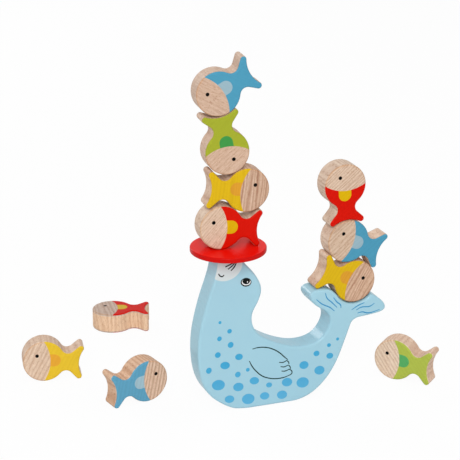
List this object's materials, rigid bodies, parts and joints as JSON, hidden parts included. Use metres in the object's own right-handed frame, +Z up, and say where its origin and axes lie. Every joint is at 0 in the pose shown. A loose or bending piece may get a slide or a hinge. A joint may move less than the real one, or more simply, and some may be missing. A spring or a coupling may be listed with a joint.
{
  "type": "seal balance game",
  "caption": "Flat wooden seal that carries stacks of flat wooden fish on a round disc on its nose and in the cup of its tail, with loose fish beside it.",
  "frame": {"origin": "middle of the seal's flat base, half way through the board's thickness", "axes": "+Z up, +X from the seal's chest to its tail, the printed front face looks along -Y"},
  "size_m": [0.3441, 0.2597, 0.3078],
  "materials": {
    "seal_lacquer": "satin lacquer",
    "disc_lacquer": "gloss lacquer",
    "beech": "sanded and waxed",
    "paint_red": "satin paint",
    "paint_yellow": "satin paint",
    "paint_green": "satin paint",
    "paint_blue": "satin paint"
  },
  "bodies": {
    "seal": {"seal_body": "seal_lacquer", "disc_peg": "beech"},
    "nose_disc": {"nose_disc": "disc_lacquer"},
    "disc_fish_red": {"disc_fish_red": "paint_red"},
    "disc_fish_yellow": {"disc_fish_yellow": "paint_yellow"},
    "disc_fish_green": {"disc_fish_green": "paint_green"},
    "disc_fish_blue": {"disc_fish_blue": "paint_blue"},
    "tail_fish_yellow": {"tail_fish_yellow": "paint_yellow"},
    "tail_fish_blue": {"tail_fish_blue": "paint_blue"},
    "tail_fish_red": {"tail_fish_red": "paint_red"},
    "loose_fish_red": {"loose_fish_red": "paint_red"},
    "loose_fish_yellow": {"loose_fish_yellow": "paint_yellow"},
    "loose_fish_blue": {"loose_fish_blue": "paint_blue"},
    "loose_fish_green": {"loose_fish_green": "paint_green"}
  },
  "joints": [
    {"name": "disc_turn", "type": "hinge", "parent": "seal", "child": "nose_disc", "pos_m": [-0.0345, 0, 0.141], "axis": [0, 0, 1], "continuous": true},
    {"name": "disc_red_lift", "type": "slide", "parent": "nose_disc", "child": "disc_fish_red", "axis": [0, 0, 1], "range_m": [0, 0.06]},
    {"name": "disc_yellow_lift", "type": "slide", "parent": "disc_fish_red", "child": "disc_fish_yellow", "axis": [0, 0, 1], "range_m": [0, 0.06]},
    {"name": "disc_green_lift", "type": "slide", "parent": "disc_fish_yellow", "child": "disc_fish_green", "axis": [0, 0, 1], "range_m": [0, 0.06]},
    {"name": "disc_blue_lift", "type": "slide", "parent": "disc_fish_green", "child": "disc_fish_blue", "axis": [0, 0, 1], "range_m": [0, 0.06]},
    {"name": "tail_yellow_lift", "type": "slide", "parent": "seal", "child": "tail_fish_yellow", "axis": [0, 0, 1], "range_m": [0, 0.06]},
    {"name": "tail_blue_lift", "type": "slide", "parent": "tail_fish_yellow", "child": "tail_fish_blue", "axis": [0, 0, 1], "range_m": [0, 0.06]},
    {"name": "tail_red_lift", "type": "slide", "parent": "tail_fish_blue", "child": "tail_fish_red", "axis": [0, 0, 1], "range_m": [0, 0.06]},
    {"name": "loose_red_lift", "type": "slide", "parent": "seal", "child": "loose_fish_red", "axis": [0, 0, 1], "range_m": [0, 0.06]},
    {"name": "loose_yellow_lift", "type": "slide", "parent": "seal", "child": "loose_fish_yellow", "axis": [0, 0, 1], "range_m": [0, 0.06]},
    {"name": "loose_blue_lift", "type": "slide", "parent": "seal", "child": "loose_fish_blue", "axis": [0, 0, 1], "range_m": [0, 0.06]},
    {"name": "loose_green_lift", "type": "slide", "parent": "seal", "child": "loose_fish_green", "axis": [0, 0, 1], "range_m": [0, 0.06]}
  ]
}
